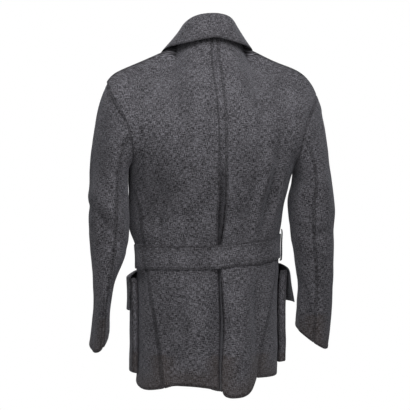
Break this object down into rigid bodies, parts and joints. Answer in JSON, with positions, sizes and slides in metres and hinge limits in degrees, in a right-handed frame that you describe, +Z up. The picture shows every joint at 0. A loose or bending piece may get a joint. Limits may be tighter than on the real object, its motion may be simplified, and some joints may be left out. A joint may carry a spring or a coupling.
{
  "type": "belted wool coat",
  "caption": "Hip-length belted wool coat in worn form, with turned-down collar, centre-back pleat, two-piece sleeves and flapped bellows pockets.",
  "frame": {"origin": "base of the neck, in the middle between the shoulders, at the height where the collar meets them", "axes": "+Z up, +Y out of the chest, +X towards the wearer's right arm"},
  "size_m": [0.569, 0.3279, 0.8513],
  "materials": {
    "wool": "matte",
    "button": "satin"
  },
  "bodies": {
    "root": {"back_left": "wool", "back_right": "wool", "back_pleat": "wool", "front_left": "wool", "front_right": "wool", "sleeve_top_left": "wool", "sleeve_under_left": "wool", "sleeve_top_right": "wool", "sleeve_under_right": "wool", "collar": "wool", "lapel_left": "wool", "lapel_right": "wool", "belt": "wool", "belt_loop_left": "wool", "belt_loop_right": "wool", "pocket_left": "wool", "pocket_right": "wool", "pocket_flap_left": "wool", "pocket_flap_right": "wool", "button_1": "button", "button_2": "button", "button_3": "button", "button_4": "button", "belt_button": "button"}
  },
  "joints": []
}
